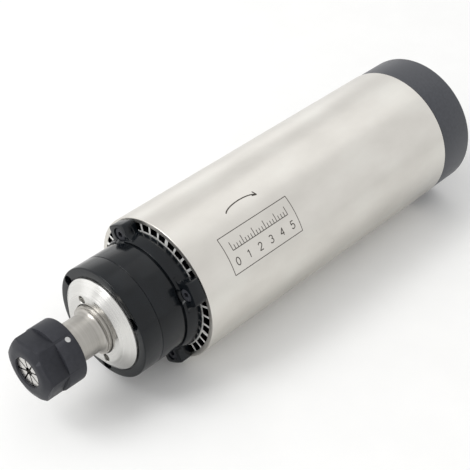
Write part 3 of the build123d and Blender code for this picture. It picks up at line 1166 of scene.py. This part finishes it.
# %% Grille, pockets and rear screws
slot_section = rectangle(
    grille_circle - grille_half_length, grille_circle + grille_half_length,
    grille_half_width, grille_round,
)
grille_angles = [first_land + 360 / grille_slots * k for k in range(grille_slots)]
worked(rear_cover, [
    prism("tool", slot_section, panel_y - 1, rear_face_y + 1, angle) for angle in grille_angles
])
rear_head_y, rear_pocket_y = rear_face_y - 0.3, rear_face_y - 3.4
rear_tool = plain_tool(counterbore, rear_pocket_y, rear_face_y + 1)
drilled(rear_cover, rear_tool, boss_circle, lug_angles)
place(rear_cover, cover_paint, "housing", "cover_paint", "rear_cover")

screw_ring("rear_screws", rear_head_y, rear_pocket_y, boss_circle, lug_angles, (8, 27, 46, 65))

# %% [markdown]
# ## The cable socket
# A round threaded socket takes the motor cable's plug. A thin hexagon nut clamps it to the cover,
# the barrel carries a thread for the plug's ring, and the insert holds four pins. The barrel and
# its thread are made by the same two helpers as the spindle's nose.

# %% Socket
socket_radius = reach("socket_shell")
socket_bore = socket_radius - 1.6
barrel_core = socket_radius - 0.45
barrel_root_y = rear_face_y + 4.0
socket_pitch = 1.0
panel_nut_across, panel_nut_thick, panel_nut_edge = 24.0, 2.6, 0.35
BARREL_STEPS, CLAMP_STEPS = 128, 96

place(
    turned("socket_barrel", [
        (rear_face_y, socket_bore),
        (rear_face_y, socket_radius),
        (barrel_root_y, socket_radius, 0.3),
        (barrel_root_y, barrel_core),
        (socket_end_y, barrel_core, 0.4),
        (socket_end_y, socket_bore, 0.3),
    ], BARREL_STEPS),
    nickel, "housing", "nickel_plate", "socket_shell",
)
socket_thread = thread_ridge(
    "socket_thread", barrel_core, socket_radius, rear_face_y + 5.0, socket_end_y - 0.9, socket_pitch
)
place(socket_thread, nickel, "housing", "nickel_plate")
panel_nut = prism(
    "socket_panel_nut", hexagon(panel_nut_across), rear_face_y, rear_face_y + panel_nut_thick
)
worked(panel_nut, [
    plain_tool(socket_radius + HAIR, rear_face_y - 1, rear_face_y + 4, CLAMP_STEPS)
])
place(broken_edges(panel_nut, panel_nut_edge), nickel, "housing", "nickel_plate")

# %% [markdown]
# ## Engraved marks
# The body carries a thin engraved frame with a scale of plain numbers, and a curved arrow that
# gives the direction of rotation. A laser or a pantograph engraves with a single stroke, so the
# figures are drawn as strokes too, and each stroke is laid on the tube as a thin curved strip.

# %% Engraving
mark_height = 0.012
mark_depth = 0.03
mark_step = 0.6


def wrapped(along, around, height):
    """Point on the tube: mm along Y, mm round it from angle zero, and height over its skin."""
    radius = body_radius + height
    angle = around / body_radius
    return (radius * MM * math.cos(angle), along * MM, radius * MM * math.sin(angle))


def engraved(mesh, path, width):
    """Lay one stroke on the tube as a closed strip along a path of (along, around) points."""
    dense = [Vector(path[0])]
    for start, end in zip(path, path[1:]):
        start, end = Vector(start), Vector(end)
        pieces = max(1, math.ceil((end - start).length / mark_step))
        dense += [start.lerp(end, k / pieces) for k in range(1, pieces + 1)]
    rows = []
    for index, point in enumerate(dense):
        before, after = dense[max(index - 1, 0)], dense[min(index + 1, len(dense) - 1)]
        side = (after - before).normalized().orthogonal() * width / 2
        rows.append([
            mesh.verts.new(wrapped(*(point + side), mark_height)),
            mesh.verts.new(wrapped(*(point - side), mark_height)),
            mesh.verts.new(wrapped(*(point - side), -mark_depth)),
            mesh.verts.new(wrapped(*(point + side), -mark_depth)),
        ])
    for here, after in zip(rows, rows[1:]):
        for side in range(4):
            mesh.faces.new((here[side - 1], here[side], after[side], after[side - 1]))
    mesh.faces.new(rows[0])
    mesh.faces.new(rows[-1])


def bow(cx, cy, rx, ry, first, last, steps=10):
    """Points of an arc in a figure's box, angles in degrees."""
    spots = [math.radians(first + (last - first) * k / steps) for k in range(steps + 1)]
    return [(cx + rx * math.cos(spot), cy + ry * math.sin(spot)) for spot in spots]


# %% [markdown]
# ## The frame and its scale
# The frame stands where such a body carries its data, and holds nothing but a scale with the
# figures 0 to 5. Each figure is a list of strokes in a box 0.6 wide and 1 high, so one height
# sets the size of all of them.

# %% Frame, scale and figures
FIGURES = {
    "0": [bow(0.3, 0.5, 0.3, 0.5, 0, 360, 20)],
    "1": [[(0.1, 0.8), (0.35, 1.0), (0.35, 0.0)]],
    "2": [bow(0.3, 0.72, 0.28, 0.28, 170, -40) + [(0.02, 0.0), (0.6, 0.0)]],
    "3": [bow(0.28, 0.75, 0.27, 0.25, 150, -80), bow(0.28, 0.27, 0.31, 0.27, 80, -150)],
    "4": [[(0.45, 0.0), (0.45, 1.0), (0.0, 0.3), (0.6, 0.3)]],
    "5": [[(0.55, 1.0), (0.1, 1.0), (0.06, 0.55)] + bow(0.28, 0.32, 0.31, 0.32, 130, -150)],
}
frame_front, frame_rear = 20.2, 69.8
frame_low, frame_high = math.radians(25.3) * body_radius, math.radians(54.1) * body_radius
stroke = 0.42
figure_height, figure_stroke = 4.0, stroke * 1.3
scale_front, scale_step, minor_marks = 25.0, 8.0, 4
figure_row, tick_row = frame_low + 3.6, frame_low + 11.5
long_tick, short_tick = 4.6, 2.4
last_figure = len(FIGURES) - 1

marks = bmesh.new()
frame_corners = [
    (frame_front, frame_low), (frame_rear, frame_low),
    (frame_rear, frame_high), (frame_front, frame_high), (frame_front, frame_low),
]
for start, end in zip(frame_corners, frame_corners[1:]):
    engraved(marks, [start, end], stroke)
scale_rear = scale_front + last_figure * scale_step
engraved(marks, [(scale_front, tick_row), (scale_rear, tick_row)], stroke)
for value, paths in enumerate(FIGURES.values()):
    at = scale_front + value * scale_step
    engraved(marks, [(at, tick_row), (at, tick_row + long_tick)], stroke)
    for path in paths:
        spots = [(at + (x - 0.3) * figure_height, figure_row + y * figure_height) for x, y in path]
        engraved(marks, spots, figure_stroke)
    for minor in range(1, minor_marks if value < last_figure else 1):
        between = at + scale_step * minor / minor_marks
        engraved(marks, [(between, tick_row), (between, tick_row + short_tick)], stroke)

# %% [markdown]
# ## The rotation arrow
# A flat arc with two barbs shows which way the shaft turns. It uses the same strokes, a little
# bolder, and closes the engraving.

# %% Rotation arrow
arrow_along, arrow_around = 45.5, math.radians(68.1) * body_radius - 2.0
arrow_length, arrow_rise, arrow_stroke = 11.5, 3.6, stroke * 1.6
barb_length, barb_spread = 2.6, 1.3
arc = bow(arrow_along, arrow_around, arrow_length, arrow_rise, 165, 15, 24)
engraved(marks, arc, arrow_stroke)
tip = Vector(arc[-1])
heading = (tip - Vector(arc[-2])).normalized()
for side in (1, -1):
    barb = tip - heading * barb_length + heading.orthogonal() * barb_spread * side
    engraved(marks, [tuple(tip), tuple(barb)], arrow_stroke)
place(as_object(marks, "engraved_marks"), laser_mark, "housing", "sheath_steel")

# %% [markdown]
# ## Finishes for the CAD pieces that stay
# The bearings, the motor, the rear carrier, the fan and the socket's insert and pins keep their
# CAD meshes, because hardly any of them shows outside. They are seen through the windows and the
# grille, or when the spindle is taken apart, so each still gets its own finish.

# %% Dress the CAD nodes
CAD_FINISHES = {
    "outer_races": bearing_steel,
    "inner_races": bearing_steel,
    "front_ball_cage": cage_resin,
    "rear_ball_cage": cage_resin,
    "stator_core": lamination,
    "stator_winding": enamel_copper,
    "rotor_core": lamination,
    "rear_bell": cast_aluminium,
    "cooling_fan": fan_nylon,
    "socket_insert": insert_plastic,
    "socket_pins": pin_brass,
}
for node_name, finish in CAD_FINISHES.items():
    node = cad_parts[node_name]
    for material_slot in node.material_slots:
        material_slot.material = finish
print(len(CAD_FINISHES), "CAD pieces dressed")

# %% [markdown]
# ## Studio floor
# A wide sheet of matt white paper just under the body catches a soft shadow. It isn't part of
# the object, so it rides on no body.

# %% Floor
scene = bpy.context.scene
FLOOR_HALF = 3.0
FIBRE_CLOUD = 25.0
floor_z = -(body_radius + 0.05) * MM
floor_mesh = bmesh.new()
floor_mesh.faces.new([
    floor_mesh.verts.new((x * FLOOR_HALF, y * FLOOR_HALF, floor_z))
    for x, y in ((-1, -1), (1, -1), (1, 1), (-1, 1))
])
floor = as_object(floor_mesh, "floor")
floor_paper, tree, shader = new_finish(
    "white_backdrop_paper", Roughness=0.9, Specular_IOR_Level=0.1
)
fibres = add_node(
    tree, "ShaderNodeTexNoise", {"Scale": per_mm(FIBRE_CLOUD)},
    {"Vector": stretched(tree, "Object")},
)
tone = add_node(
    tree, "ShaderNodeValToRGB", {"stops": [(0.3, linear("#fcfcfb")), (0.7, linear("#fefefd"))]},
    {"Fac": fibres.outputs["Fac"]},
)
tree.links.new(tone.outputs["Color"], shader.inputs["Base Color"])
floor.data.materials.append(floor_paper)

# %% [markdown]
# ## White room
# The world is white to the camera and in reflections, so bright metal shows a white room. As a
# light it is dimmer, which leaves the lamps something to do.

# %% World
WORLD_LEVEL = 0.74
world = bpy.data.worlds.new("white_room")
scene.world = world
world.use_nodes = True
tree = world.node_tree
tree.nodes.clear()
path = add_node(tree, "ShaderNodeLightPath")
seen = add_node(
    tree, "ShaderNodeMath", {"operation": "MAXIMUM"},
    {0: path.outputs["Is Camera Ray"], 1: path.outputs["Is Glossy Ray"]},
)
seen = add_node(
    tree, "ShaderNodeMath", {"operation": "MAXIMUM"},
    {0: seen.outputs["Value"], 1: path.outputs["Is Transmission Ray"]},
)
level = add_node(
    tree, "ShaderNodeMapRange", {"To Min": WORLD_LEVEL, "To Max": 1.0},
    {"Value": seen.outputs["Value"]},
)
room = add_node(
    tree, "ShaderNodeBackground", {"Color": (1.0, 1.0, 1.0, 1.0)},
    {"Strength": level.outputs["Result"]},
)
add_node(tree, "ShaderNodeOutputWorld", links={"Surface": room.outputs["Background"]})

# %% [markdown]
# ## Lamps
# Five soft square lamps give shape: a key from above the nose, and four weak ones that draw
# bright lines on the edges and the black pieces. View Transform is Standard, so that colours
# come out as written.

# %% Lamps
# Each lamp's place in metres, side in metres and power in watts
LAMPS = {
    "key": ((-0.5, -0.75, 1.15), 0.7, 7.5),
    "overhead": ((-0.16, 0.78, 0.98), 0.8, 0.65),
    "spark": ((-0.35, -1.0, 0.75), 0.3, 1.4),
    "left_back": ((-1.2, 0.85, 0.2), 0.7, 0.6),
    "left_front": ((-1.1, -0.75, 0.35), 0.8, 1.0),
}
centre = Vector((0.0, 60 * MM, 0.0))
for name, (corner, size, power) in LAMPS.items():
    lamp = bpy.data.lights.new(name, "AREA")
    lamp.size = size
    lamp.energy = power
    light = bpy.data.objects.new(name, lamp)
    light.location = corner
    light.rotation_euler = (centre - Vector(corner)).to_track_quat("-Z", "Y").to_euler()
    scene.collection.objects.link(light)

scene.view_settings.view_transform = "Standard"
print(len(LAMPS), "lamps")

# %% [markdown]
# ## Camera
# The camera stands off the nose, above and to one side, and looks down on the body with a long
# lens, as a product shot does. Its place and its turn are given outright, so that the framing
# can't drift when a piece changes.

# %% Camera
camera_data = bpy.data.cameras.new("camera")
camera_data.lens = 91.39
camera_data.sensor_width = 36.0
camera = bpy.data.objects.new("camera", camera_data)
azimuth, elevation = math.radians(43.64), math.radians(38.44)
camera.location = (0.34290, -0.30211, 0.39568)
camera.rotation_euler = (math.pi / 2 - elevation, 0.0, azimuth)
scene.collection.objects.link(camera)
scene.camera = camera
